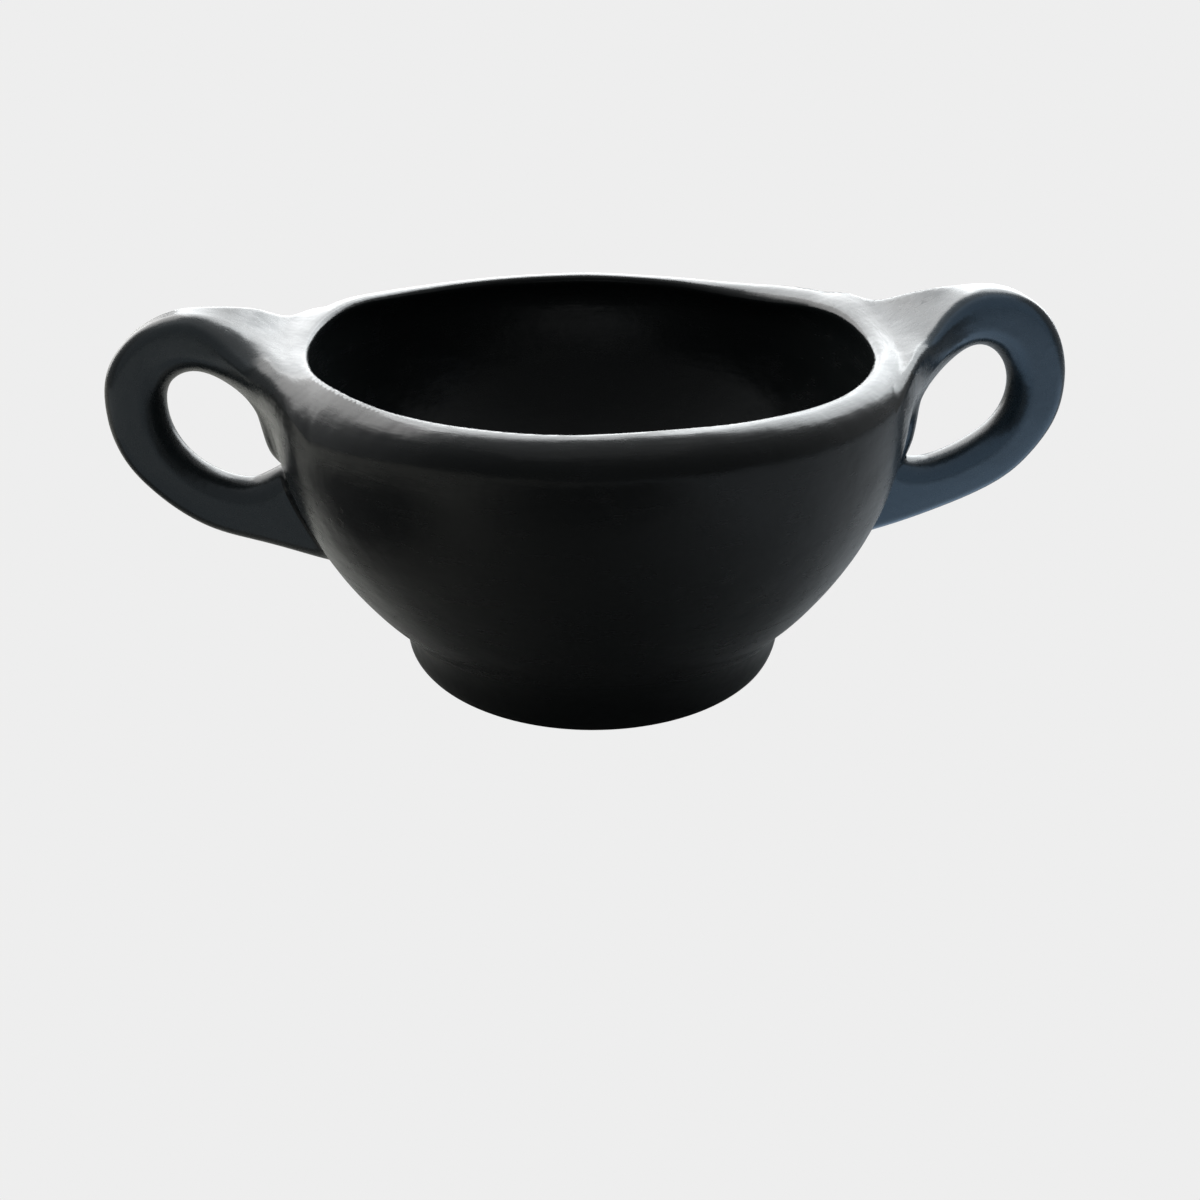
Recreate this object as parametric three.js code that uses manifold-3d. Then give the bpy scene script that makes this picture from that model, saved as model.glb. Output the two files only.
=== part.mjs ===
// A hand-built black earthenware bowl with two tall loop handles.
//
// The potter's separate pieces of clay, each its own solid:
//   foot_ring     a coil of clay that lifts the bowl off the table
//   bowl_body     the round wall and floor
//   rim_coil      the thick rounded lip laid on the wall
//   left_handle   a loop of clay that springs from the lip and lands on the wall
//   right_handle  the same on the other side, pulled a little higher
//
// Millimetres, +Z up. The origin is the middle of the foot on the table, and the
// handles reach out along -X and +X.

import * as THREE from 'three';
import { mergeVertices } from 'three/addons/utils/BufferGeometryUtils.js';
import Module from 'manifold-3d';

// Driving dimensions

// Lip
const RIM_HEIGHT = 83.4; // table to the top of the lip
const MOUTH_RADIUS = 66; // inner edge of the lip
const LIP_WIDTH = 9.6; // inner edge to outer face
const LIP_DEPTH = 13; // top of the lip down to its seat on the wall
const LIP_OUTER_ROUNDING = 5.2; // radius of the outer top edge
const LIP_INNER_ROUNDING = 3; // radius of the inner top edge

// Wall and floor
const BELLY_SWELL = 0.8; // how far the widest wall stands out past the lip
const BELLY_BELOW_RIM = 8.8; // top of the lip down to the widest wall
const WALL = 8; // wall thickness at the widest wall
const FLOOR = 8.5; // floor thickness in the middle

// Foot
const NECK_RADIUS = 47.4; // crease where the wall meets the foot
const FOOT_HEIGHT = 14.4; // table to that crease
const FOOT_ROUNDING = 10.5; // radius of the worn lower edge
const FOOT_RECESS_RADIUS = 31; // hollow under the bowl
const FOOT_RECESS_DEPTH = 5; // table to the underside of the floor
const FOOT_INNER_BEVEL = 1.2; // softened inner edge of the ring

// Handles
const HANDLE_REACH = 39.3; // outer face of the lip to the outermost point of a handle
const LOOP_HALF_LENGTH = 22; // middle of the loop to the middle of the bar, the long way
const LOOP_HALF_BREADTH = 18.4; // and the short way
const LOOP_LEAN = 38; // degrees that the loop's long way leans outwards
const BAR_THICKNESS = 12.2; // bar of the loop, measured in the loop's plane
const BAR_DEPTH = 14; // bar of the loop, front to back
const ROOT_THICKNESS = 16.5; // upper root where it runs into the lip
const LANDING_THICKNESS = 18.5; // lower root where it lands on the wall
const FLARE_START = 16; // outer face of the lip to where the upper root starts to spread
const FLARE_ANGLE = 49; // degrees that each side of the upper root turns out towards the lip
const LANDING_BELOW_RIM = 43.6; // top of the lip down to the middle of the lower root
const LEFT_LOOP_BELOW_RIM = 18; // top of the lip down to the middle of the left loop
const RIGHT_LOOP_BELOW_RIM = 15.8; // the right loop was pulled a little higher

// Joints between the pieces of clay
const SLIP = 0.3; // film of slip left between two pieces

// Fineness of the facets
const TURN_STEPS = 72; // facets round the bowl
const LOOP_STEPS = 34; // slices along a handle
const WALL_STEPS = 13; // points up the wall, outside and inside
const EDGE_STEPS = 6; // points round a rounded edge
const SECTION_STEPS = 20; // points round a handle's section

// Stretch of the leaning ellipse that a handle follows, in degrees from its upper tip
const LOOP_FROM = -56;
const LOOP_TO = 136;
const LOOP_STRIDE = 24;

// Shares of a handle's length over which its ends change their thickness and spread
const ROOT_SHARE = 0.17;
const LANDING_SHARE = 0.32;
const FLARE_SHARE = 0.4;

// How square a handle's section is: 2 is an ellipse, more is squarer
const SECTION_POWER = 3.4;

// Worked out from the driving dimensions

const lipRadius = MOUTH_RADIUS + LIP_WIDTH;
const bellyRadius = lipRadius + BELLY_SWELL;
const bellyHeight = RIM_HEIGHT - BELLY_BELOW_RIM;
const lipSeat = RIM_HEIGHT - LIP_DEPTH;
const cavityRadius = bellyRadius - WALL;
const floorTop = FOOT_RECESS_DEPTH + FLOOR;

// The wall's outside is a half ellipse whose lowest slice is the neck's crease.
const neckShare = NECK_RADIUS / bellyRadius;
const bellyDrop = (bellyHeight - FOOT_HEIGHT) / Math.sqrt(1 - neckShare * neckShare);
const cavityDrop = bellyHeight - floorTop;

function ellipseRadius(radius, drop, height) {
  const share = (height - bellyHeight) / drop;
  return radius * Math.sqrt(Math.max(0, 1 - share * share));
}

function ellipseHeight(radius, drop, atRadius) {
  const share = atRadius / radius;
  return bellyHeight - drop * Math.sqrt(Math.max(0, 1 - share * share));
}

const point = (radius, height) => new THREE.Vector2(radius, height);

// Points of an arc about a centre, both ends included, angles in degrees.
function arc(centreRadius, centreHeight, radius, fromAngle, toAngle, steps) {
  const points = [];
  for (let step = 0; step <= steps; step += 1) {
    const angle = THREE.MathUtils.degToRad(fromAngle + ((toAngle - fromAngle) * step) / steps);
    points.push(point(centreRadius + radius * Math.cos(angle), centreHeight + radius * Math.sin(angle)));
  }
  return points;
}

// Points of the wall's ellipse between two heights, both ends included.
function wallPoints(radius, drop, fromHeight, toHeight, steps) {
  const points = [];
  for (let step = 0; step <= steps; step += 1) {
    const share = (1 - Math.cos((Math.PI * step) / steps)) / 2;
    const height = fromHeight + (toHeight - fromHeight) * share;
    points.push(point(ellipseRadius(radius, drop, height), height));
  }
  return points;
}

// Points of the cavity's bowl from the axis up to a height, evenly turned.
function cavityPoints(toHeight, steps) {
  const last = Math.asin((toHeight - bellyHeight) / cavityDrop);
  const points = [];
  for (let step = 0; step <= steps; step += 1) {
    const angle = -Math.PI / 2 + ((last + Math.PI / 2) * step) / steps;
    const radius = step === 0 ? 0 : cavityRadius * Math.cos(angle);
    points.push(point(radius, bellyHeight + cavityDrop * Math.sin(angle)));
  }
  return points;
}

// A turned solid from a profile that runs round its area anticlockwise.
function turned(profile) {
  return new THREE.LatheGeometry(profile, TURN_STEPS);
}

// Foot ring

// The ring's upper face follows the wall from the crease in to the recess.
function footRing() {
  const seatPoints = [];
  const innerTop = ellipseHeight(bellyRadius, bellyDrop, FOOT_RECESS_RADIUS);
  for (let step = 0; step <= EDGE_STEPS; step += 1) {
    const height = FOOT_HEIGHT + ((innerTop - FOOT_HEIGHT) * step) / EDGE_STEPS;
    seatPoints.push(point(ellipseRadius(bellyRadius, bellyDrop, height), height - SLIP));
  }
  const edgeCentre = NECK_RADIUS - FOOT_ROUNDING;
  const profile = [
    point(FOOT_RECESS_RADIUS, FOOT_INNER_BEVEL),
    point(FOOT_RECESS_RADIUS + FOOT_INNER_BEVEL, 0),
    ...arc(edgeCentre, FOOT_ROUNDING, FOOT_ROUNDING, -90, 0, EDGE_STEPS),
    ...seatPoints,
  ];
  profile.push(profile[0].clone());
  return turned(profile);
}

// Wall and floor

function bowlBody() {
  const undersideRadius = ellipseRadius(bellyRadius, bellyDrop, FOOT_RECESS_DEPTH);
  const profile = [
    point(0, FOOT_RECESS_DEPTH),
    point(undersideRadius, FOOT_RECESS_DEPTH),
    ...wallPoints(bellyRadius, bellyDrop, FOOT_RECESS_DEPTH, lipSeat, WALL_STEPS).slice(1),
    ...cavityPoints(lipSeat, WALL_STEPS).reverse(),
  ];
  return turned(profile);
}

// Lip

// Its outside carries on from the wall and leans in to the outer top edge.
function rimCoil() {
  const seat = lipSeat + SLIP;
  const outerCentre = lipRadius - LIP_OUTER_ROUNDING;
  const innerCentre = MOUTH_RADIUS + LIP_INNER_ROUNDING;
  const profile = [
    point(ellipseRadius(cavityRadius, cavityDrop, seat), seat),
    point(ellipseRadius(bellyRadius, bellyDrop, seat), seat),
    ...arc(outerCentre, RIM_HEIGHT - LIP_OUTER_ROUNDING, LIP_OUTER_ROUNDING, 0, 90, EDGE_STEPS),
    ...arc(innerCentre, RIM_HEIGHT - LIP_INNER_ROUNDING, LIP_INNER_ROUNDING, 90, 180, EDGE_STEPS),
  ];
  profile.push(profile[0].clone());
  return turned(profile);
}

// Solid space that the bowl takes up, with the film of slip round it. The handles'
// ends are cut back to it.
function bowlSpace() {
  const outerCentre = lipRadius - LIP_OUTER_ROUNDING;
  const outerEdge = RIM_HEIGHT - LIP_OUTER_ROUNDING;
  const belly = wallPoints(bellyRadius + SLIP, bellyDrop + SLIP, FOOT_HEIGHT, lipSeat, WALL_STEPS);
  const profile = [
    point(0, FOOT_HEIGHT),
    ...belly,
    ...arc(outerCentre, outerEdge, LIP_OUTER_ROUNDING + SLIP, 0, 90, EDGE_STEPS),
    point(0, RIM_HEIGHT + SLIP),
  ];
  return turned(profile);
}

// Handles

// Rounded-rectangle section: a superellipse with half sizes across and along the bar.
function sectionPoint(step, halfThickness, halfDepth) {
  const power = 2 / SECTION_POWER;
  const angle = (2 * Math.PI * step) / SECTION_STEPS;
  const across = Math.sign(Math.cos(angle)) * Math.abs(Math.cos(angle)) ** power;
  const along = Math.sign(Math.sin(angle)) * Math.abs(Math.sin(angle)) ** power;
  return [halfThickness * across, halfDepth * along];
}

const blend = (from, to, share) => from + (to - from) * THREE.MathUtils.smoothstep(share, 0, 1);

// The loop leaves the lip, climbs over, and comes back down to land on the wall. Its
// free stretch is part of a leaning ellipse.
function handleLoop(loopBelowRim) {
  const lean = THREE.MathUtils.degToRad(LOOP_LEAN);
  const longWay = new THREE.Vector3(Math.sin(lean), 0, Math.cos(lean));
  const shortWay = new THREE.Vector3(Math.cos(lean), 0, -Math.sin(lean));
  const furthest = Math.hypot(LOOP_HALF_LENGTH * longWay.x, LOOP_HALF_BREADTH * shortWay.x);
  const middle = new THREE.Vector3(
    lipRadius + HANDLE_REACH - BAR_THICKNESS / 2 - furthest,
    0,
    RIM_HEIGHT - loopBelowRim,
  );
  const landingHeight = RIM_HEIGHT - LANDING_BELOW_RIM;
  const landingRadius = ellipseRadius(bellyRadius, bellyDrop, landingHeight);
  const points = [new THREE.Vector3(MOUTH_RADIUS, 0, RIM_HEIGHT - ROOT_THICKNESS / 2)];
  for (let angle = LOOP_FROM; angle <= LOOP_TO; angle += LOOP_STRIDE) {
    const turn = THREE.MathUtils.degToRad(angle);
    const along = longWay.clone().multiplyScalar(LOOP_HALF_LENGTH * Math.cos(turn));
    const sideways = shortWay.clone().multiplyScalar(LOOP_HALF_BREADTH * Math.sin(turn));
    points.push(middle.clone().add(along).add(sideways));
  }
  points.push(new THREE.Vector3(landingRadius - WALL / 2, 0, landingHeight));
  return new THREE.CatmullRomCurve3(points, false, 'centripetal');
}

// Bar sizes at a share of the way along the loop.
function barSize(share, place) {
  const awayFromRoot = share / ROOT_SHARE;
  const nearLanding = (share - 1 + LANDING_SHARE) / LANDING_SHARE;
  let thickness = blend(ROOT_THICKNESS, BAR_THICKNESS, awayFromRoot);
  if (nearLanding > 0) {
    thickness = blend(BAR_THICKNESS, LANDING_THICKNESS, nearLanding);
  }
  const inwards = Math.max(0, lipRadius + FLARE_START - place.x);
  const flareSlope = Math.tan(THREE.MathUtils.degToRad(FLARE_ANGLE));
  const spread = share < FLARE_SHARE ? inwards * flareSlope : 0;
  return { halfThickness: thickness / 2, halfDepth: BAR_DEPTH / 2 + spread };
}

function handleBar(loopBelowRim) {
  const loop = handleLoop(loopBelowRim);
  const vertices = [];
  const faces = [];
  const middle = [];
  for (let slice = 0; slice <= LOOP_STEPS; slice += 1) {
    const share = slice / LOOP_STEPS;
    const place = loop.getPointAt(share);
    const heading = loop.getTangentAt(share);
    const across = new THREE.Vector3(-heading.z, 0, heading.x);
    const { halfThickness, halfDepth } = barSize(share, place);
    middle.push(place);
    for (let step = 0; step < SECTION_STEPS; step += 1) {
      const [offset, depth] = sectionPoint(step, halfThickness, halfDepth);
      vertices.push(place.x + across.x * offset, depth, place.z + across.z * offset);
    }
  }
  for (let slice = 0; slice < LOOP_STEPS; slice += 1) {
    for (let step = 0; step < SECTION_STEPS; step += 1) {
      const next = (step + 1) % SECTION_STEPS;
      const a = slice * SECTION_STEPS + step;
      const b = slice * SECTION_STEPS + next;
      const c = a + SECTION_STEPS;
      const d = b + SECTION_STEPS;
      faces.push(a, c, b, b, c, d);
    }
  }
  for (const slice of [0, LOOP_STEPS]) {
    const centre = vertices.length / 3;
    vertices.push(middle[slice].x, middle[slice].y, middle[slice].z);
    for (let step = 0; step < SECTION_STEPS; step += 1) {
      const next = (step + 1) % SECTION_STEPS;
      const a = slice * SECTION_STEPS + step;
      const b = slice * SECTION_STEPS + next;
      if (slice === 0) {
        faces.push(centre, a, b);
      } else {
        faces.push(centre, b, a);
      }
    }
  }
  const geometry = new THREE.BufferGeometry();
  geometry.setAttribute('position', new THREE.Float32BufferAttribute(vertices, 3));
  geometry.setIndex(faces);
  return geometry;
}

// Cutting with manifold-3d

const wasm = await Module();
wasm.setup();

function toSolid(geometry) {
  const bare = geometry.clone();
  bare.deleteAttribute('normal');
  bare.deleteAttribute('uv');
  const merged = mergeVertices(bare, 1e-4);
  const mesh = new wasm.Mesh({
    numProp: 3,
    vertProperties: new Float32Array(merged.attributes.position.array),
    triVerts: new Uint32Array(merged.index.array),
  });
  mesh.merge();
  return new wasm.Manifold(mesh);
}

function fromSolid(solid) {
  const mesh = solid.getMesh();
  const geometry = new THREE.BufferGeometry();
  geometry.setAttribute('position', new THREE.Float32BufferAttribute(mesh.vertProperties, 3));
  geometry.setIndex(new THREE.Uint32BufferAttribute(mesh.triVerts, 1));
  geometry.computeVertexNormals();
  return geometry;
}

// A handle on the +X side, its ends cut back to the lip and the wall.
function cutHandle(loopBelowRim) {
  const bar = toSolid(handleBar(loopBelowRim));
  const space = toSolid(uprightLathe(bowlSpace()));
  return fromSolid(bar.subtract(space));
}

// LatheGeometry turns about Y, so the turned pieces are stood up about Z.
function uprightLathe(geometry) {
  return geometry.rotateX(Math.PI / 2);
}

// Assembly

const clay = { color: 0x15181b, roughness: 0.42, metalness: 0 };

function piece(name, geometry) {
  const mesh = new THREE.Mesh(geometry, new THREE.MeshStandardMaterial(clay));
  mesh.name = name;
  return mesh;
}

const bowl = new THREE.Group();
bowl.add(piece('foot_ring', uprightLathe(footRing())));
bowl.add(piece('bowl_body', uprightLathe(bowlBody())));
bowl.add(piece('rim_coil', uprightLathe(rimCoil())));

const rightHandle = piece('right_handle', cutHandle(RIGHT_LOOP_BELOW_RIM));
bowl.add(rightHandle);

const leftHandle = piece('left_handle', cutHandle(LEFT_LOOP_BELOW_RIM));
leftHandle.rotation.z = Math.PI;
bowl.add(leftHandle);

export default bowl;
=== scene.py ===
# A hand-built, smoke-blackened earthenware bowl with two tall loop handles.
#
# The clay is modelled as the potter left it: the handles are worked into the wall
# with wet fingers, and all of it is rubbed with a stone. One smooth distance field
# holds the whole bowl, a fine skin is drawn over it, and the skin is cut into the
# five pieces. The field is worked out in millimetres, the meshes are in metres.

import math

import bpy
import numpy as np
from mathutils import Matrix, Vector


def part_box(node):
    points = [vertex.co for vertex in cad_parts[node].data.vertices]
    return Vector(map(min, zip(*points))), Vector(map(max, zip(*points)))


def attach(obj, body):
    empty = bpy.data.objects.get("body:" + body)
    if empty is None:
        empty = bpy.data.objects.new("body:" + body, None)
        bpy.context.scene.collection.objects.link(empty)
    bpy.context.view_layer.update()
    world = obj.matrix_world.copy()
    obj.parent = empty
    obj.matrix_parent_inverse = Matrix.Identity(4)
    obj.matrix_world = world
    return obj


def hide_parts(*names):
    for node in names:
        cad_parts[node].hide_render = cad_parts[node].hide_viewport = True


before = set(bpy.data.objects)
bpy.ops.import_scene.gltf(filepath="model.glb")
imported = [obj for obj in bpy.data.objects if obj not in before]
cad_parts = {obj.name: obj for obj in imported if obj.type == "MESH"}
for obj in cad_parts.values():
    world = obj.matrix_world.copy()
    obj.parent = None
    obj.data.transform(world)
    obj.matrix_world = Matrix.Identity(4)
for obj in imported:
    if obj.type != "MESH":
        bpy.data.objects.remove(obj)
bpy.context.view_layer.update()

MM = 0.001
BODY = "root"


# Sizes that the frame gives, in millimetres

def edge(node, end, axis):
    """The lowest (end 0) or highest (end 1) place of a node along an axis."""
    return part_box(node)[end][axis] / MM


RIM_HEIGHT = edge("rim_coil", 1, 2)
LIP_SEAT = edge("rim_coil", 0, 2)
BELLY_RADIUS = edge("rim_coil", 1, 0)
NECK_RADIUS = edge("foot_ring", 1, 0)

# Sizes of the bowl, in millimetres

LIP_RADIUS = BELLY_RADIUS - 0.8
MOUTH_RADIUS = 65.5
BELLY_HEIGHT = RIM_HEIGHT - 8.8
NECK_HEIGHT = 14.4
WALL = 8.0
FLOOR_TOP = 13.5
LIP_OUTER_ROUNDING = 6.6
LIP_INNER_ROUNDING = 2.4
FOOT_ROUNDING = 10.0
NECK_FILLET = 2.6
FRONT_NECK_FILLET = 9.0
RECESS_RADIUS = 31.0
RECESS_DEPTH = 5.0
RECESS_ROUNDING = 1.6
FOOT_SHIFT = 0.5
FOOT_SWELL = 0.3
FOOT_OVERLAP = 4.0
WAIST = 0.2
WAIST_HEIGHT = 32.0
WAIST_REACH = 12.0

# Where the bowl departs from a turned one

# Each form is (bearing in degrees, how far round it reaches, by how much). Bearing 0 is
# the back and 90 the right. A lean is how far the lip falls for each
# millimetre outwards or inwards.

RIM_LIFTS = ((62, 21, 4.1), (-64, 19, 2.3), (169, 14, 0.75), (-127, 14, 0.4))
OUTWARD_LEANS = ((-123, 18, 0.52), (178, 22, 0.14))
INWARD_LEANS = ((53, 22, 0.56), (-152, 11, 0.03))
FRONT_SOFTENING = ((180, 52, FRONT_NECK_FILLET - NECK_FILLET),)

# A pair is the two places, in millimetres, between which a form comes in or fades

BACK_RISE = 0.3
BACK_RISE_DEPTHS = (0, 60)
RIM_ASKEW = (50, RIM_HEIGHT)
FOOT_ASKEW = (10, 30)
LEAN_OUT_FROM = 68
LEAN_IN_FROM = 74
LEAN_IN_REACH = 9

# Low waves that hands leave, with their height as a share of their length

WAVE_SEED = 11
WAVE_LENGTHS = (62, 48, 37, 29, 22, 17, 13, 10)
WAVES_OF_EACH = 2
WAVE_HEIGHT = 0.0010
WAVE_START = (0, 8)

# Sizes of the handles, in millimetres

BAR_DEPTH = 12.0
OUTER_ROUNDING = 3.2
HOLE_ROUNDING = 5.5
EDGE_CHANGE = 4
HOLE_TRIM = -0.8
BAR_CROWN = 0.6
CROWN_DEPTH = 6
RIDGE_SOFTNESS = 0.9
WEB_FILLET = 4.5
JOIN_BLEND = 3.0
HOLE_FUNNEL = 0.32
FUNNEL_FROM = 4
TILT_HALF_WIDTH = 16.0
FRONT_TO_BACK = (-4, 4)
ROOT_HEIGHTS = (50, 76)
ROOT_END = (78, 94)
LIFT_END = (80, 92)
TILT_START = (72, 80)
TILT_END = (82, 94)
FLARE_HEIGHTS = (61, 84)
FLARE_WIDTHS = (20, 48)
FLARE_CORE = 0.4
NEAR_HANDLE_X = 38
NEAR_HANDLE_Y = 66

# Both outlines are (distance out from the bowl's middle, height) in the loop's own plane

CURVE_STEPS = 12
LEFT_LOOP = {
    "outside": ((52, 72), (60, 78), (68, 82.6), (73, 84.7), (79, 88), (86, 91.2), (94, 92.4),
                (104, 89), (112, 81), (114.5, 70), (112, 57.5), (104.5, 47.4), (94, 39.6),
                (82, 35.2), (72, 31.9), (64, 29.4), (56, 28)),
    "hole": ((73, 54.6), (77.2, 58), (80.4, 69.2), (86.5, 76.8), (93.5, 79), (99.8, 76),
             (101.6, 68.4), (98.4, 59.2), (91.5, 52.8), (83.5, 50.3), (78.8, 51.6), (73, 54.6)),
    "front": {"rounding": 6.0, "fillet": 30.0, "tilt": 0.135},
    "back": {"rounding": 2.0, "fillet": 22.0, "tilt": 0.2},
}
RIGHT_LOOP = {
    "outside": ((52, 72), (60, 78), (68, 82.8), (73, 85.2), (78, 88.4), (84, 92.4), (91, 95.2),
                (100.7, 94.6), (110.8, 88.3), (116.2, 77), (116.5, 66), (112, 55.5), (104, 47.2),
                (93, 41.4), (80, 36.4), (72, 33.8), (64, 31.5), (56, 30)),
    "hole": ((78, 52.2), (80.2, 58.4), (81.3, 66.8), (84.4, 75.2), (91, 81.6), (98.7, 80.8),
             (103.8, 73.3), (102.6, 63.7), (96.5, 57.2), (88.5, 52.8), (82.2, 51.4), (78, 52.2)),
    "front": {"rounding": 2.4, "fillet": 30.0, "tilt": 0.14},
    "back": {"rounding": 2.0, "fillet": 22.0, "tilt": 0.17},
}

# How the skin is drawn, in millimetres

SKIN_STEP = 1.0
SKIN_ROUNDS = 4
EVENING_SHARE = 0.5
SLOPE_REACH = 0.3
OFF_SKIN = 0.12
FACES_WITH_SKIN = 0.2
CUTTER_STEP = 2.4
ROOM = ((-120.0, -82.0, -3.0), (120.0, 82.0, 101.0))

# Where the skin is cut into pieces, in millimetres

SEAM_PROUD = 2.5
FOOT_PROUD = 0.7
WALL_ROOM = ((-82.0, -82.0, -3.0), (82.0, 82.0, 30.0))
WALL_FORM_TOP = 26
FOOT_BLOCK = ((-70, -70, -2), (70, 70, 22))
LIP_BLOCK = ((-100, -100, LIP_SEAT), (100, 100, RIM_HEIGHT + 12))


# Shapes as distance fields: below zero inside, above zero outside

def ease(value, low, high):
    """0 up to low, 1 from high on, smooth between."""
    share = np.clip((value - low) / (high - low), 0, 1)
    return share * share * (3 - 2 * share)


def melt(a, b, reach):
    """Both shapes, with the crease between them filled over that reach."""
    reach = np.maximum(reach, 1e-6)
    share = np.maximum(reach - np.abs(a - b), 0) / reach
    return np.minimum(a, b) - share * share * reach / 4


def carve(a, b, rounding):
    """What two shapes share, with the edge between them rounded."""
    outside = np.hypot(np.maximum(a + rounding, 0), np.maximum(b + rounding, 0))
    return np.minimum(np.maximum(a, b), -rounding) + outside


def egg(radius, height, half_width, half_height):
    """About the distance to an ellipsoid of revolution."""
    size = np.hypot(radius / half_width, height / half_height)
    slope = np.hypot(radius / half_width**2, height / half_height**2)
    return size * (size - 1) / np.maximum(slope, 1e-9)


def egg_height(half_width, width, height):
    """Half height of the ellipse that is that wide at that height."""
    return height / math.sqrt(1 - (width / half_width) ** 2)


BELLY_DROP = egg_height(BELLY_RADIUS, NECK_RADIUS, BELLY_HEIGHT - NECK_HEIGHT)
BELLY_LEAN = egg_height(BELLY_RADIUS, LIP_RADIUS, RIM_HEIGHT - BELLY_HEIGHT)
CAVITY_RADIUS = BELLY_RADIUS - WALL
CAVITY_DROP = BELLY_HEIGHT - FLOOR_TOP
CAVITY_LEAN = egg_height(CAVITY_RADIUS, MOUTH_RADIUS, RIM_HEIGHT - BELLY_HEIGHT)


def belly(radius, height):
    """The outside of the wall, with a slight waist over the foot."""
    above = height - BELLY_HEIGHT
    shape = egg(radius, above, BELLY_RADIUS, np.where(above < 0, BELLY_DROP, BELLY_LEAN))
    return shape + WAIST * np.exp(-(((height - WAIST_HEIGHT) / WAIST_REACH) ** 2))


def cavity(radius, height):
    """The inside of the wall."""
    above = height - BELLY_HEIGHT
    return egg(radius, above, CAVITY_RADIUS, np.where(above < 0, CAVITY_DROP, CAVITY_LEAN))


def round_the_rim(x, y, swells):
    """The sum of soft swells, each (bearing, reach, size), at these places."""
    bearing = np.degrees(np.arctan2(x, y))
    total = 0.0
    for middle, reach, size in swells:
        away = (bearing - middle + 180) % 360 - 180
        total = total + size * np.exp(-((away / reach) ** 2))
    return total


def rim_lift(x, y):
    """The lip stands higher behind each handle, and a little higher all along the back."""
    return round_the_rim(x, y, RIM_LIFTS) + BACK_RISE * ease(y, *BACK_RISE_DEPTHS)


def hand_wobble(x, y, z):
    """Low waves that hands and the rubbing stone leave."""
    waves = np.random.default_rng(WAVE_SEED)
    total = np.zeros_like(x)
    for length in WAVE_LENGTHS:
        for _ in range(WAVES_OF_EACH):
            way = waves.normal(size=3)
            way *= 2 * math.pi / length / np.linalg.norm(way)
            phase = waves.uniform(0, 2 * math.pi)
            total += length * np.sin(way[0] * x + way[1] * y + way[2] * z + phase)
    return total * WAVE_HEIGHT * ease(z, *WAVE_START)


def settled(x, y, z):
    """Places measured from the bowl as it was before its rim and foot went askew."""
    shifted = x - FOOT_SHIFT * (1 - ease(z, *FOOT_ASKEW))
    radius = np.hypot(shifted, y)
    outer, inner = radius - LEAN_OUT_FROM, LEAN_IN_FROM - radius
    lean = round_the_rim(x, y, OUTWARD_LEANS) * np.maximum(outer, 0)
    lean = lean + round_the_rim(x, y, INWARD_LEANS) * np.clip(inner, 0, LEAN_IN_REACH)
    return radius, z - (rim_lift(x, y) - lean) * ease(z, *RIM_ASKEW)


def bowl_outside(x, y, z):
    """The bowl without its handles, filled in."""
    radius, height = settled(x, y, z)
    foot = np.maximum(radius - NECK_RADIUS - FOOT_SWELL, height - NECK_HEIGHT - FOOT_OVERLAP)
    fillet = NECK_FILLET + round_the_rim(x, y, FRONT_SOFTENING)
    shape = melt(belly(radius, height), foot, fillet)
    shape = carve(shape, height - RIM_HEIGHT, LIP_OUTER_ROUNDING)
    return carve(shape, -z, FOOT_ROUNDING)


def bowl_hollows(x, y, z):
    """The inside of the bowl, and the recess under its foot."""
    radius, height = settled(x, y, z)
    recess = carve(radius - RECESS_RADIUS, z - RECESS_DEPTH, RECESS_ROUNDING)
    return cavity(radius, height), recess


def through(points):
    """The smooth curve that a thin springy strip takes through the points."""
    points = np.array(points, float)
    last = len(points) - 1
    runs = np.sqrt(np.hypot(*np.diff(points, axis=0).T))
    bends = np.eye(last + 1)
    pulls = np.zeros((last + 1, 2))
    for at in range(1, last):
        before, after = runs[at - 1], runs[at]
        bends[at, at - 1:at + 2] = before, 2 * (before + after), after
        rise = (points[at] - points[at - 1]) / before
        next_rise = (points[at + 1] - points[at]) / after
        pulls[at] = 6 * (next_rise - rise)
    bend = np.linalg.solve(bends, pulls)
    curve = []
    for at in range(last):
        run = runs[at]
        for share in np.linspace(0, 1, CURVE_STEPS, endpoint=False):
            rest = 1 - share
            curve.append(
                rest * points[at] + share * points[at + 1]
                + run * run / 6 * ((rest**3 - rest) * bend[at] + (share**3 - share) * bend[at + 1])
            )
    curve.append(points[last])
    return np.array(curve)


def past_outline(line, across, up):
    """Distance to a closed outline, below zero inside it."""
    nearest = np.full(across.shape, 1e9)
    inside = np.zeros(across.shape, bool)
    for start, end in zip(line, np.roll(line, -1, axis=0)):
        run = end - start
        length = run @ run
        if length < 1e-12:
            continue
        offset_a, offset_b = across - start[0], up - start[1]
        part = np.clip((offset_a * run[0] + offset_b * run[1]) / length, 0, 1)
        gap = np.hypot(offset_a - part * run[0], offset_b - part * run[1])
        nearest = np.minimum(nearest, gap)
        if start[1] != end[1]:
            crossed = (start[1] > up) != (end[1] > up)
            inside ^= crossed & (offset_a < offset_b * run[0] / run[1])
    return np.where(inside, -nearest, nearest)


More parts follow.
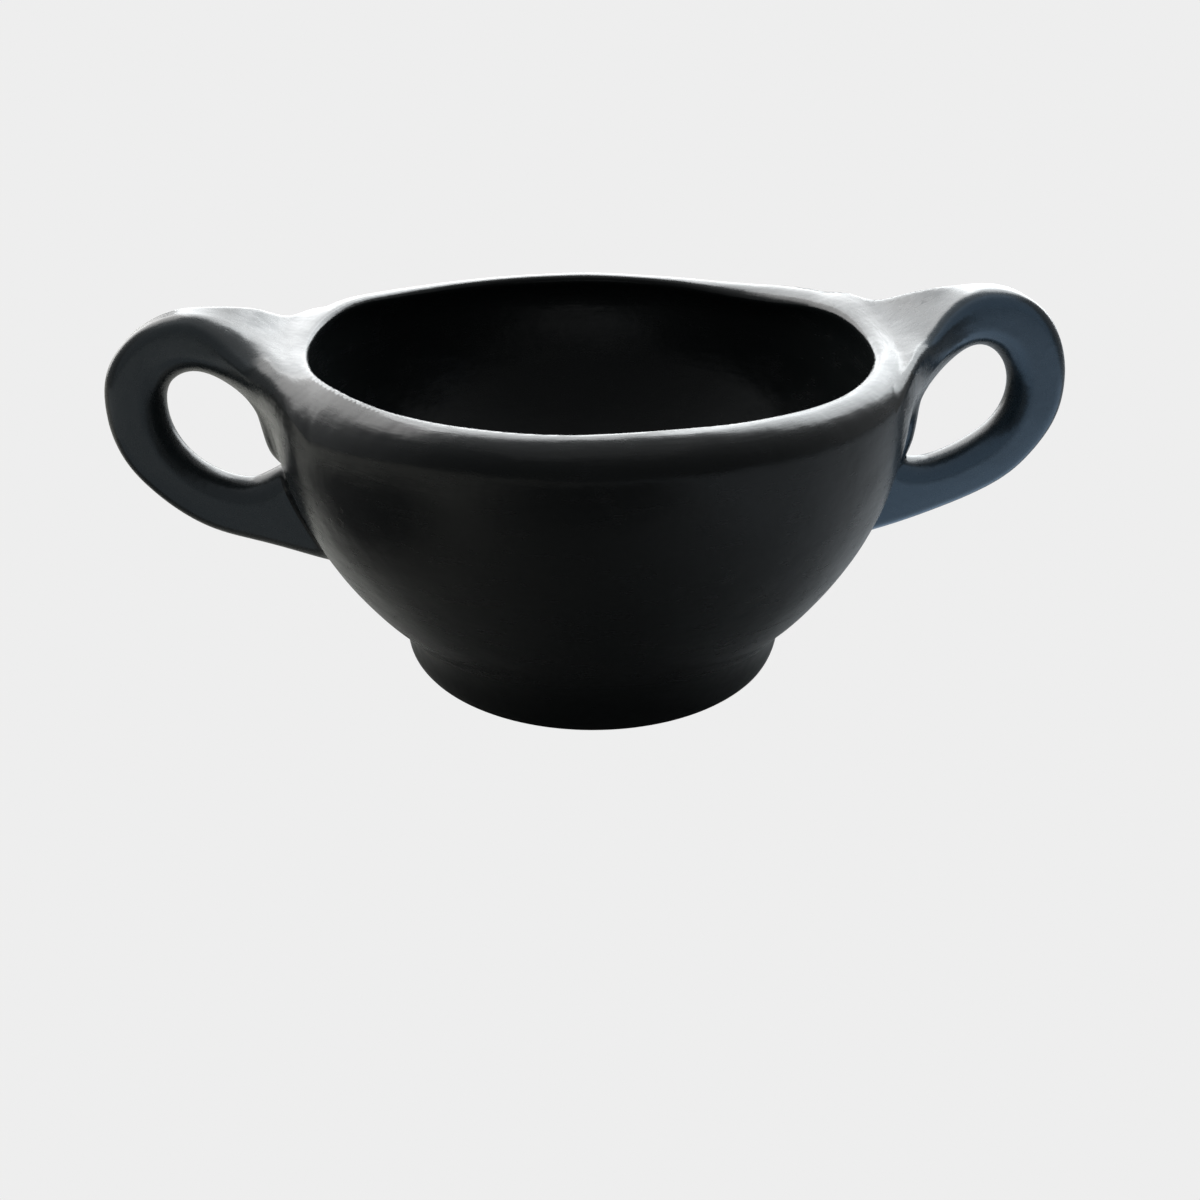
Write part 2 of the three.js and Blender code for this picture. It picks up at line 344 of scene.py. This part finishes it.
class Handle:
    """One loop of clay, drawn by its outline and its hole in the upright plane through X."""

    GRID = 0.5
    CORNER = np.array([40.0, 14.0])
    FAR_CORNER = np.array([122.0, 104.0])
    LAST_CELL = 1.001

    def __init__(self, side, form):
        self.side = side
        self.form = form
        out = np.arange(self.CORNER[0], self.FAR_CORNER[0], self.GRID)
        up = np.arange(self.CORNER[1], self.FAR_CORNER[1], self.GRID)
        out, up = np.meshgrid(out, up, indexing="ij")
        hole = through(form["hole"])
        middle = (hole.min(axis=0) + hole.max(axis=0)) / 2
        self.centre = (side * middle[0], 0, middle[1])
        self.hole = past_outline(hole, out, up)
        self.outside = past_outline(through(form["outside"]), out, up)

    def look_up(self, chart, out, up):
        """A distance in the loop's plane, between the chart's own places."""
        a = np.clip((out - self.CORNER[0]) / self.GRID, 0, chart.shape[0] - self.LAST_CELL)
        b = np.clip((up - self.CORNER[1]) / self.GRID, 0, chart.shape[1] - self.LAST_CELL)
        low_a, low_b = a.astype(int), b.astype(int)
        part_a, part_b = a - low_a, b - low_b
        low = chart[low_a, low_b] * (1 - part_b) + chart[low_a, low_b + 1] * part_b
        high = chart[low_a + 1, low_b] * (1 - part_b) + chart[low_a + 1, low_b + 1] * part_b
        return low * (1 - part_a) + high * part_a

    def from_front(self, y, key):
        """A value of the root that changes from the front of the bar to its back."""
        front, back = self.form["front"][key], self.form["back"][key]
        return front + (back - front) * ease(y, *FRONT_TO_BACK)

    def joined(self, bowl, side, x, y, z):
        """The bowl with this handle worked into it. Side is the bowl's wall alone."""
        out = x * self.side
        wide = np.hypot(y, RIDGE_SOFTNESS)
        upper = ease(z, *ROOT_HEIGHTS)
        at_root = (1 - ease(out, *ROOT_END)) * upper
        tilted = ease(out, *TILT_START) * (1 - ease(out, *TILT_END)) * upper
        lift = rim_lift(x, y) * ease(z, *RIM_ASKEW) * (1 - ease(out, *LIFT_END))
        slant = np.clip(y, -TILT_HALF_WIDTH, TILT_HALF_WIDTH) * self.from_front(y, "tilt")
        lowered = z - lift - slant * tilted
        funnel = HOLE_FUNNEL * np.maximum(wide - FUNNEL_FROM, 0) * (1 - ease(out, *TILT_END))
        past_outside = self.look_up(self.outside, out, lowered)
        past_hole = HOLE_TRIM * (1 - at_root) - self.look_up(self.hole, out + funnel, lowered)
        gap = np.maximum(past_outside, past_hole)
        by_outside = ease(past_outside - past_hole, -EDGE_CHANGE, EDGE_CHANGE)
        bar_rounding = HOLE_ROUNDING + (OUTER_ROUNDING - HOLE_ROUNDING) * by_outside
        crown = BAR_CROWN * (1 - np.minimum(-gap / CROWN_DEPTH, 1)) ** 2
        flared = ease(z, *FLARE_HEIGHTS)
        fillet = WEB_FILLET + (self.from_front(y, "fillet") - WEB_FILLET) * flared
        flank = melt(wide - BAR_DEPTH / 2 + crown, side, fillet)
        root_rounding = self.from_front(y, "rounding")
        rounding = bar_rounding + (root_rounding - bar_rounding) * at_root * by_outside
        slab = carve(gap, flank, rounding)
        low_width, high_width = FLARE_WIDTHS
        flare_width = low_width + (high_width - low_width) * flared
        fade = 1 - ease(wide, FLARE_CORE * flare_width, flare_width)
        return melt(bowl, slab, JOIN_BLEND * fade)


LEFT = Handle(-1, LEFT_LOOP)
RIGHT = Handle(1, RIGHT_LOOP)


def whole_bowl(x, y, z):
    """The finished bowl in one shape."""
    shape = bowl_outside(x, y, z)
    near = (np.abs(x) > NEAR_HANDLE_X) & (np.abs(y) < NEAR_HANDLE_Y)
    for handle in (LEFT, RIGHT):
        here = near & (x * handle.side > 0)
        if here.any():
            at = x[here], y[here], z[here]
            shape[here] = handle.joined(shape[here], belly(*settled(*at)), *at)
    inside, recess = bowl_hollows(x, y, z)
    shape = carve(shape, -inside, LIP_INNER_ROUNDING)
    shape = carve(shape, -recess, RECESS_ROUNDING)
    return shape + hand_wobble(x, y, z)


def past_handles(x, y, z):
    """The bowl without its handles, swollen to where a handle's piece begins."""
    return bowl_outside(x, y, z) - SEAM_PROUD


def over_foot(x, y, z):
    """The bottom of the wall, down to the top of the recess."""
    radius, height = settled(x, y, z)
    wall = np.maximum(belly(radius, height) - FOOT_PROUD, RECESS_DEPTH - z)
    return np.maximum(wall, z - WALL_FORM_TOP)


def slope_of(field, places):
    """Which way the field rises fastest, and how fast."""
    slopes = np.empty_like(places)
    for axis in range(3):
        ahead, behind = places.copy(), places.copy()
        ahead[:, axis] += SLOPE_REACH
        behind[:, axis] -= SLOPE_REACH
        slopes[:, axis] = (field(*ahead.T) - field(*behind.T)) / (2 * SLOPE_REACH)
    return slopes


# From a field to a mesh

def draw_skin(field, room, step):
    """Four-sided faces over the place where the field is zero."""
    axes = [np.arange(low, high + step, step) for low, high in zip(*room)]
    values = np.empty([len(axis) for axis in axes])
    y, z = np.meshgrid(axes[1], axes[2], indexing="ij")
    for index, x in enumerate(axes[0]):
        values[index] = field(np.full_like(y, x), y, z)
    inside = values < 0
    cells = [slice(0, -1), slice(1, None)]
    count = sum(inside[a, b, c].astype(np.int8) for a in cells for b in cells for c in cells)
    mixed = (count > 0) & (count < 8)
    found = np.argwhere(mixed)
    number = np.full(mixed.shape, -1)
    number[mixed] = np.arange(len(found))
    places = np.zeros((len(found), 3))
    hits = np.zeros(len(found))
    faces = []
    for axis in range(3):
        side, other = (axis + 1) % 3, (axis + 2) % 3
        for shift_side in (0, 1):
            for shift_other in (0, 1):
                start = found.copy()
                start[:, side] += shift_side
                start[:, other] += shift_other
                end = start.copy()
                end[:, axis] += 1
                a, b = values[tuple(start.T)], values[tuple(end.T)]
                crossed = (a < 0) != (b < 0)
                at = start[crossed].astype(float)
                at[:, axis] += a[crossed] / (a[crossed] - b[crossed])
                places[crossed] += at
                hits[crossed] += 1
        first = [slice(1, -1)] * 3
        first[axis] = slice(0, -1)
        second = list(first)
        second[axis] = slice(1, None)
        leaving = inside[tuple(first)] & ~inside[tuple(second)]
        entering = ~inside[tuple(first)] & inside[tuple(second)]
        for change, turned in ((leaving, False), (entering, True)):
            at = np.argwhere(change)
            at[:, side] += 1
            at[:, other] += 1
            ring = []
            for back_side, back_other in ((1, 1), (0, 1), (0, 0), (1, 0)):
                cell = at.copy()
                cell[:, side] -= back_side
                cell[:, other] -= back_other
                ring.append(number[tuple(cell.T)])
            faces.append(np.stack(ring[::-1] if turned else ring, 1))
    places = places / hits[:, None] * step + np.array(room[0])
    return places, np.concatenate(faces)


def settle_skin(field, places, faces):
    """Evens out the faces and brings every point exactly onto the surface."""
    starts = np.concatenate([faces[:, k] for k in range(4)])
    ends = np.concatenate([faces[:, (k + 1) % 4] for k in range(4)])
    neighbours = np.bincount(starts, minlength=len(places))
    for turn in range(SKIN_ROUNDS + 2):
        slopes = slope_of(field, places)
        steepness = (slopes**2).sum(1)
        places = places - slopes * (field(*places.T) / steepness)[:, None]
        if turn >= SKIN_ROUNDS:
            continue
        middle = np.stack(
            [np.bincount(starts, places[ends, k], len(places)) for k in range(3)], 1
        )
        pull = middle / neighbours[:, None] - places
        facing = slopes / np.sqrt(steepness)[:, None]
        pull -= facing * (pull * facing).sum(1)[:, None]
        places = places + pull * EVENING_SHARE
    return places


def placed(name, data):
    """A new object in the scene."""
    made = bpy.data.objects.new(name, data)
    bpy.context.collection.objects.link(made)
    return made


def mesh_object(name, places, faces):
    """A new object from points in millimetres and the faces between them."""
    mesh = bpy.data.meshes.new(name)
    mesh.from_pydata((places * MM).tolist(), [], faces.tolist())
    return placed(name, mesh)


def block(name, low, high):
    """A plain box that only cuts."""
    corners = np.array([[(low, high)[i][0], (low, high)[j][1], (low, high)[k][2]]
                        for i in (0, 1) for j in (0, 1) for k in (0, 1)], float)
    faces = np.array([[0, 1, 3, 2], [4, 6, 7, 5], [0, 4, 5, 1],
                      [2, 3, 7, 6], [0, 2, 6, 4], [1, 5, 7, 3]])
    return mesh_object(name, corners, faces)


def combined(name, shape, cutter, operation):
    """A new object: one shape cut to, or cut away by, another."""
    change = shape.modifiers.new("cut", "BOOLEAN")
    change.operation = operation
    change.solver = "MANIFOLD"
    change.object = cutter
    graph = bpy.context.evaluated_depsgraph_get()
    mesh = bpy.data.meshes.new_from_object(shape.evaluated_get(graph))
    shape.modifiers.clear()
    mesh.name = name
    return placed(name, mesh)


def points_of(mesh):
    """The points of a mesh, in millimetres."""
    flat = np.empty(len(mesh.vertices) * 3)
    mesh.vertices.foreach_get("co", flat)
    return flat.reshape(-1, 3) / MM


def shade_skin(piece):
    """Smooth normals from the field where a face lies on the skin, flat on cut faces."""
    mesh = piece.data
    slopes = slope_of(whole_bowl, points_of(mesh))
    slopes /= np.linalg.norm(slopes, axis=1)[:, None]
    corners = np.empty(len(mesh.loops), int)
    mesh.loops.foreach_get("vertex_index", corners)
    sizes = np.empty(len(mesh.polygons), int)
    mesh.polygons.foreach_get("loop_total", sizes)
    facing, middles = np.empty(len(sizes) * 3), np.empty(len(sizes) * 3)
    mesh.polygons.foreach_get("normal", facing)
    mesh.polygons.foreach_get("center", middles)
    facing, middles = facing.reshape(-1, 3), middles.reshape(-1, 3) / MM
    off_skin = np.abs(whole_bowl(*middles.T)) > OFF_SKIN
    turned = (slope_of(whole_bowl, middles) * facing).sum(1) < FACES_WITH_SKIN
    face_of = np.repeat(np.arange(len(sizes)), sizes)
    cut_face = (off_skin | turned)[face_of]
    normals = np.where(cut_face[:, None], facing[face_of], slopes[corners])
    mesh.polygons.foreach_set("use_smooth", np.ones(len(sizes), bool))
    mesh.normals_split_custom_set(normals.tolist())


def keep_side(piece, side):
    """Keeps the faces on one side of the upright plane through Y."""
    mesh = piece.data
    places = points_of(mesh)
    faces = [tuple(face.vertices) for face in mesh.polygons]
    keep = [face for face in faces if places[face[0], 0] * side > 0]
    used = sorted({corner for face in keep for corner in face})
    renumber = {old: new for new, old in enumerate(used)}
    fresh = bpy.data.meshes.new(piece.name)
    fresh.from_pydata((places[used] * MM).tolist(), [],
                      [[renumber[corner] for corner in face] for face in keep])
    piece.data = fresh


def finished(piece, node):
    """Shades a piece, which then rides on the body and stands for its node."""
    piece.data.materials.clear()
    shade_skin(piece)
    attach(piece, BODY)
    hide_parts(node)


skin_points, skin_faces = draw_skin(whole_bowl, ROOM, SKIN_STEP)
skin_points = settle_skin(whole_bowl, skin_points, skin_faces)
whole = mesh_object("whole", skin_points, skin_faces)

bowl_form = mesh_object("bowl_form", *draw_skin(past_handles, ROOM, CUTTER_STEP))
wall_form = mesh_object("wall_form", *draw_skin(over_foot, WALL_ROOM, CUTTER_STEP))
foot_block = block("foot_block", *FOOT_BLOCK)
foot_room = combined("foot_room", foot_block, wall_form, "DIFFERENCE")
lip_block = block("lip_block", *LIP_BLOCK)

left_handle = combined("left_loop_handle", whole, bowl_form, "DIFFERENCE")
right_handle = combined("right_loop_handle", whole, bowl_form, "DIFFERENCE")
keep_side(left_handle, LEFT.side)
keep_side(right_handle, RIGHT.side)
bowl = combined("bowl", whole, bowl_form, "INTERSECT")
lip = combined("rim_roll", bowl, lip_block, "INTERSECT")
lower_bowl = combined("lower_bowl", bowl, lip_block, "DIFFERENCE")
foot = combined("foot", lower_bowl, foot_room, "INTERSECT")
wall = combined("bowl_wall", lower_bowl, foot_room, "DIFFERENCE")

for helper in (whole, bowl_form, wall_form, foot_block, foot_room, lip_block, bowl, lower_bowl):
    bpy.data.objects.remove(helper)

finished(left_handle, "left_handle")
finished(right_handle, "right_handle")
finished(lip, "rim_coil")
finished(foot, "foot_ring")
finished(wall, "bowl_body")


# Materials

class Socket:
    """A value in a shader, so that its maths reads as plain sums."""

    def __init__(self, shader, link):
        self.shader = shader
        self.link = link

    def sum(self, operation, *others):
        made = self.shader.node("ShaderNodeMath", {"operation": operation}, [self, *others])
        return made.outputs[0]

    def __add__(self, other):
        return self.sum("ADD", other)

    def __sub__(self, other):
        return self.sum("SUBTRACT", other)

    def __rsub__(self, other):
        return self.sum("MULTIPLY", -1).sum("ADD", other)

    def __mul__(self, other):
        return self.sum("MULTIPLY", other)

    def __truediv__(self, other):
        return self.sum("DIVIDE", other)

    def __pow__(self, other):
        return self.sum("POWER", other)

    __radd__ = __add__
    __rmul__ = __mul__


class Made:
    """A node with its outputs as Socket values."""

    def __init__(self, shader, node):
        self.outputs = [Socket(shader, output) for output in node.outputs]
        self.named = {output.name: value for output, value in zip(node.outputs, self.outputs)}


class Shader:
    """The nodes and links of a new material, or of the room round the bowl."""

    def __init__(self, owner):
        self.owner = owner
        owner.use_nodes = True
        self.tree = owner.node_tree
        self.tree.nodes.clear()

    def node(self, kind, settings=(), inputs=()):
        """A node with its settings made first, then the values or links of its sockets."""
        node = self.tree.nodes.new(kind)
        for key, value in dict(settings).items():
            setattr(node, key, value)
        items = inputs.items() if isinstance(inputs, dict) else enumerate(inputs)
        for key, value in items:
            target = node.inputs[key]
            if isinstance(value, Socket):
                self.tree.links.new(value.link, target)
            else:
                target.default_value = value
        return Made(self, node)

    def smooth_step(self, value, low, high, low_value=0.0, high_value=1.0):
        """Goes smoothly from the low value to the high one, between low and high."""
        settings = {"interpolation_type": "SMOOTHSTEP"}
        values = {"Value": value, "From Min": low, "From Max": high,
                  "To Min": low_value, "To Max": high_value}
        return self.node("ShaderNodeMapRange", settings, values).named["Result"]

    def noise(self, place, scale, detail, rough, fourth=None):
        """Noise at a place, which may have a fourth direction."""
        values = {"Vector": place, "Scale": scale, "Detail": detail, "Roughness": rough}
        settings = {"noise_dimensions": "3D"}
        if fourth is not None:
            settings["noise_dimensions"] = "4D"
            values["W"] = fourth
        return self.node("ShaderNodeTexNoise", settings, values).outputs[0]

    def blend(self, share, first, second):
        """One colour passing into another as the share goes from 0 to 1."""
        settings = {"data_type": "RGBA"}
        made = self.node("ShaderNodeMix", settings, {0: share, 6: first, 7: second})
        return made.outputs[2]


def new_shader(name):
    return Shader(bpy.data.materials.new(name))


# Colours of the clay, and the painted shade in its pits

DARK_SOOT = (0.0072, 0.0098, 0.0104, 1)
PALE_SOOT = (0.0122, 0.0142, 0.0142, 1)
WORN_CLAY = (0.019, 0.021, 0.021, 1)
# Painted shade for the pits: a darker colour laid into their floors
PIT_PAINTED_SHADE = (0.004, 0.0035, 0.003, 1)
WORN_SHARE = 0.55
PIT_SHADE_SHARE = 0.8

# How far each mark changes the roughness, and how high it stands in millimetres

STROKE_ROUGHNESS = 0.20
BLOTCH_ROUGHNESS = 0.10
PIT_ROUGHNESS = 0.1
FINE_STROKE_SHARE = 0.35
CLOUD_HEIGHT = 0.6
GRAIN_HEIGHT = 0.005
PIT_DEPTH = 0.03

# Pits that the photograph shows: (place in millimetres, radius)

PIT_RAGGEDNESS = 1.6
PIT_RIM = 1.2
PIT_BED = 0.5
PITS = (
    ((-65, -35, 56), 0.9), ((-62.5, -41, 60), 0.6), ((-56.7, -49.6, 61.7), 0.8),
    ((-59.7, -44.3, 57.4), 0.7), ((-57.2, -48, 58.4), 1.0), ((-32.9, -60.5, 83.4), 0.7),
    ((-83.6, -6.5, 90), 0.8), ((81, 1.6, 91), 0.7), ((64.7, -20.7, 84.5), 0.7),
)


def burnished_clay(name, centre, upright, streak_depth, gloss):
    """Smoked black clay, rubbed with a stone in long strokes round the centre.

    The strokes of the bowl go round its upright axis, those of a handle round its loop.
    """
    shader = new_shader(name)
    place = shader.node("ShaderNodeTexCoord").named["Object"]
    in_mm = shader.node("ShaderNodeVectorMath", {"operation": "SCALE"},
                        {"Vector": place, "Scale": 1 / MM}).outputs[0]
    from_centre = shader.node("ShaderNodeVectorMath", {"operation": "SUBTRACT"},
                              [in_mm, tuple(centre)]).outputs[0]
    parts = shader.node("ShaderNodeSeparateXYZ", {}, [from_centre]).outputs
    first, second, along = parts if upright else (parts[0], parts[2], parts[1])
    distance = (first * first + second * second) ** 0.5
    turn_a, turn_b = first / distance, second / distance

    def strokes(length, width, detail):
        vector = shader.node("ShaderNodeCombineXYZ", {},
                             [turn_a * length, turn_b * length, along * width]).outputs[0]
        return shader.noise(vector, 1.0, detail, rough=0.6, fourth=distance * width)

    long_strokes = strokes(length=7.0, width=0.55, detail=3.0)
    fine_strokes = strokes(length=16.0, width=1.6, detail=2.0)
    cloud = shader.noise(in_mm, scale=0.035, detail=4.0, rough=0.55)
    blotch = shader.noise(in_mm, scale=0.12, detail=3.0, rough=0.6)
    grain = shader.noise(in_mm, scale=1.4, detail=3.0, rough=0.65)

    cells = shader.node("ShaderNodeTexVoronoi", {}, {"Vector": in_mm, "Scale": 0.16})
    pick = shader.node("ShaderNodeSeparateColor", {}, [cells.named["Color"]]).outputs[0]
    shape = shader.smooth_step(cells.named["Distance"], low=0.13, high=0.04)
    pits = shape * shader.smooth_step(pick, low=0.97, high=0.985)
    ragged = (shader.noise(in_mm, scale=1.1, detail=2.0, rough=0.6) - 0.5) * PIT_RAGGEDNESS
    for pit, radius in PITS:
        away = shader.node("ShaderNodeVectorMath", {"operation": "DISTANCE"},
                           [in_mm, tuple(map(float, pit))]).named["Value"]
        dent = shader.smooth_step(away + ragged, low=radius * PIT_RIM, high=radius * PIT_BED)
        pits = pits.sum("MAXIMUM", dent)

    soot = shader.blend(cloud, DARK_SOOT, PALE_SOOT)
    worn = shader.smooth_step(blotch, low=0.56, high=0.74) * WORN_SHARE
    colour = shader.blend(worn, soot, WORN_CLAY)
    # The pits are painted darker, as painted shade in them, over their real dents and rougher gloss
    colour = shader.blend(pits * PIT_SHADE_SHARE, colour, PIT_PAINTED_SHADE)
    roughness = (
        gloss
        + (long_strokes - 0.5) * STROKE_ROUGHNESS
        + (blotch - 0.5) * BLOTCH_ROUGHNESS
        + pits * PIT_ROUGHNESS
    )
    height = (
        long_strokes * streak_depth
        + fine_strokes * streak_depth * FINE_STROKE_SHARE
        + cloud * CLOUD_HEIGHT
        + grain * GRAIN_HEIGHT
        - pits * PIT_DEPTH
    )
    bump = shader.node("ShaderNodeBump", {}, {"Strength": 1.0, "Distance": MM, "Height": height})
    surface = shader.node(
        "ShaderNodeBsdfPrincipled", {},
        {"Base Color": colour, "Roughness": roughness, "IOR": 1.5, "Normal": bump.outputs[0]},
    )
    shader.node("ShaderNodeOutputMaterial", {}, {"Surface": surface.outputs[0]})
    return shader.owner


BOWL_AXIS = (0, 0, 0)
for piece, name, centre, upright, streak_depth, gloss in (
    (wall, "burnished_bowl_clay", BOWL_AXIS, True, 0.028, 0.25),
    (lip, "burnished_lip_clay", BOWL_AXIS, True, 0.06, 0.25),
    (foot, "rubbed_foot_clay", BOWL_AXIS, True, 0.035, 0.32),
    (left_handle, "left_loop_handle_clay", LEFT.centre, False, 0.035, 0.27),
    (right_handle, "right_loop_handle_clay", RIGHT.centre, False, 0.035, 0.27),
):
    clay = burnished_clay(name, centre, upright, streak_depth, gloss)
    piece.data.materials.append(clay)


# Floor, table and backdrop, in metres

# The camera sees the floor and the backdrop. The bowl's gloss and shading see the table.
# Each shaded patch of the table is (x, y, half its width, half its length).

PALE = (0.855, 0.855, 0.855, 1)
SHADED_TABLE = (0.07, 0.07, 0.07, 1)
WARM_TABLE = (0.41, 0.405, 0.375, 1)
COOL_TABLE = (0.345, 0.365, 0.385, 1)
WARM_TO_COOL = (-0.15, 0.15)
SHADE_EDGE = (0.4, 1.1)
SHADED_PATCHES = ((-0.03, -0.33, 0.2, 0.27), (-0.18, -0.05, 0.11, 0.12))
FLOOR_HALF = 3.0
TABLE_DROP = 0.0005
DOME_RADIUS = 2.99
DOME_DROP = 0.001
DOME_RINGS = 12
DOME_AROUND = 48


def plain_light(name):
    """A surface that gives off pale light of its own."""
    shader = new_shader(name)
    glow = shader.node("ShaderNodeEmission", {}, {"Color": PALE, "Strength": 1.0})
    shader.node("ShaderNodeOutputMaterial", {}, {"Surface": glow.outputs[0]})
    return shader.owner


def grey_table():
    """A matt table, warmer at the left, with soft shaded patches."""
    shader = new_shader("grey_table")
    place = shader.node("ShaderNodeTexCoord").named["Object"]
    across, away, _ = shader.node("ShaderNodeSeparateXYZ", {}, [place]).outputs
    lit = 1.0
    for x, y, half_x, half_y in SHADED_PATCHES:
        off_patch = (((across - x) / half_x) ** 2 + ((away - y) / half_y) ** 2) ** 0.5
        lit = shader.smooth_step(off_patch, *SHADE_EDGE) * lit
    pale = shader.blend(shader.smooth_step(across, *WARM_TO_COOL), WARM_TABLE, COOL_TABLE)
    colour = shader.blend(lit, SHADED_TABLE, pale)
    matt = shader.node("ShaderNodeBsdfPrincipled", {},
                       {"Base Color": colour, "Roughness": 1.0, "Specular IOR Level": 0.0})
    shader.node("ShaderNodeOutputMaterial", {}, {"Surface": matt.outputs[0]})
    return shader.owner


def staged(name, points, faces, material, hidden_from):
    """A part of the surroundings, with the kinds of rays that don't meet it."""
    mesh = bpy.data.meshes.new(name)
    mesh.from_pydata(points, [], faces)
    mesh.materials.append(material)
    made = placed(name, mesh)
    for rays in hidden_from:
        setattr(made, "visible_" + rays, False)
    return made


def dome_points():
    """The points of half a ball over the floor, ring by ring from the ground up."""
    for ring in range(DOME_RINGS + 1):
        tilt = math.pi / 2 * ring / DOME_RINGS
        for step in range(DOME_AROUND):
            turn = 2 * math.pi * step / DOME_AROUND
            yield (DOME_RADIUS * math.cos(tilt) * math.cos(turn),
                   DOME_RADIUS * math.cos(tilt) * math.sin(turn),
                   DOME_RADIUS * math.sin(tilt) - DOME_DROP)


def dome_faces():
    """The faces between one ring of the half ball and the next."""
    for ring in range(DOME_RINGS):
        for step in range(DOME_AROUND):
            a = ring * DOME_AROUND + step
            b = ring * DOME_AROUND + (step + 1) % DOME_AROUND
            yield a, b, b + DOME_AROUND, a + DOME_AROUND


square = [(x * FLOOR_HALF, y * FLOOR_HALF, 0) for x, y in ((-1, -1), (1, -1), (1, 1), (-1, 1))]
seen_only = ("glossy", "diffuse", "shadow")
staged("floor", square, [(0, 1, 2, 3)], plain_light("pale_floor"), seen_only)
table = staged("table", square, [(0, 1, 2, 3)], grey_table(), ("camera",))
table.location.z = -TABLE_DROP
staged("backdrop", list(dome_points()), list(dome_faces()), plain_light("pale_backdrop"), seen_only)


# Camera: its place in millimetres, its angles in degrees

CAMERA_PLACE = (-25.85, -337.0, 177.8)
CAMERA_TURN = 4.8
CAMERA_DIP = 25.72
CAMERA_ROLL = 0.31
LENS = 43.44

camera_data = bpy.data.cameras.new("camera")
camera_data.lens = LENS
camera_data.sensor_width = 36.0
camera_data.clip_start = 0.01
camera_data.clip_end = 50.0
camera = placed("camera", camera_data)
turn, dip = math.radians(CAMERA_TURN), math.radians(CAMERA_DIP)
looking = Vector((math.sin(turn) * math.cos(dip), math.cos(turn) * math.cos(dip), -math.sin(dip)))
facing = looking.to_track_quat("-Z", "Y").to_matrix().to_4x4()
rolled = facing @ Matrix.Rotation(math.radians(CAMERA_ROLL), 4, "Z")
camera.matrix_world = Matrix.Translation(Vector(CAMERA_PLACE) * MM) @ rolled
bpy.context.scene.camera = camera


# Lights

SOFTBOX_AIM = Vector((0, 0, 0.06))
SOFTBOX_DISTANCE = 1.2
CARD_HEIGHT = 0.006


def area_light(name, pose, width, height, colour, radiance):
    """A rectangle of even light. Sizes in metres."""
    data = bpy.data.lights.new(name, "AREA")
    data.shape = "RECTANGLE"
    data.size = width
    data.size_y = height
    data.color = colour
    data.energy = radiance * math.pi * width * height
    light = placed(name, data)
    light.matrix_world = pose
    light.visible_camera = False
    return light


def softbox(name, azimuth, elevation, width, height, colour, radiance):
    """A light that faces the bowl. Azimuth 0 is the camera's side and 90 the right."""
    a, e = math.radians(azimuth), math.radians(elevation)
    away = Vector((math.sin(a) * math.cos(e), -math.cos(a) * math.cos(e), math.sin(e)))
    aim = (-away).to_track_quat("-Z", "Y").to_matrix().to_4x4()
    pose = Matrix.Translation(SOFTBOX_AIM + away * SOFTBOX_DISTANCE) @ aim
    return area_light(name, pose, width, height, colour, radiance)


def card(name, x, y, width, length, colour, radiance):
    """A sheet of light that lies just over the table and shines up. Sizes in millimetres."""
    place = Matrix.Translation(Vector((x * MM, y * MM, CARD_HEIGHT)))
    pose = place @ Matrix.Rotation(math.pi, 4, "X")
    return area_light(name, pose, width * MM, length * MM, colour, radiance)


# Windows behind the bowl, and a weak light over it

# Each softbox is (azimuth, elevation, width, height, colour, radiance).

softbox("window_left", -140, 25, 0.75, 1.25, (1.0, 0.99, 0.98), 3.0)
softbox("window_middle", 183, 25, 0.75, 1.25, (0.97, 0.99, 1.0), 4.5)
softbox("window_right", 147, 25, 0.75, 1.25, (0.94, 0.98, 1.0), 4.8)
softbox("overhead", 0, 86, 1.0, 1.0, (1.0, 1.0, 1.0), 0.12)

# The glare of the pale surroundings, which veils the handles alone

# Each card is (x, y, width, length, colour, radiance). The strips in front of the right
# handle are (y, length, radiance), from under it towards the camera.

BLUE = (0.43, 0.68, 1.0)
STRIP_X = 210
STRIP_WIDTH = 380
STRIPS = ((-15, 70, 1.3), (-75, 50, 1.6), (-125, 50, 1.45), (-180, 60, 1.2))

left_lights = [
    card("left_fill", -385, -590, 730, 1120, (0.72, 0.87, 1.0), 0.36),
    softbox("left_front", -25, 42, 2.2, 2.2, (0.76, 0.89, 1.0), 0.31),
    softbox("left_top", 180, 76, 2.6, 1.0, (0.86, 0.94, 1.0), 0.45),
]
right_lights = [
    card("right_fill", 385, -710, 730, 1000, BLUE, 0.95),
    softbox("right_front", 22, 42, 2.2, 2.2, BLUE, 1.0),
    softbox("right_top", 180, 76, 2.6, 1.0, (0.60, 0.80, 1.0), 0.6),
]
for y, length, radiance in STRIPS:
    name = "right_near_" + str(-y)
    right_lights.append(card(name, STRIP_X, y, STRIP_WIDTH, length, BLUE, radiance))
for handle, lights in ((left_handle, left_lights), (right_handle, right_lights)):
    only = bpy.data.collections.new(handle.name + "_lights")
    only.objects.link(handle)
    for light in lights:
        light.light_linking.receiver_collection = only

# The room is dim in front of the bowl and brighter behind it

ROOM_COLOUR = (0.95, 0.98, 1, 1)
ROOM_CHANGE = (-0.9, 0.6)
ROOM_STRENGTHS = (0.08, 0.34)

room = Shader(bpy.data.worlds.new("room"))
way = room.node("ShaderNodeTexCoord").named["Generated"]
depth = room.node("ShaderNodeSeparateXYZ", {}, [way]).named["Y"]
strength = room.smooth_step(depth, *ROOM_CHANGE, *ROOM_STRENGTHS)
glow = room.node("ShaderNodeBackground", {}, {"Color": ROOM_COLOUR, "Strength": strength})
room.node("ShaderNodeOutputWorld", {}, {"Surface": glow.outputs[0]})
bpy.context.scene.world = room.owner

bpy.context.scene.view_settings.view_transform = "Standard"
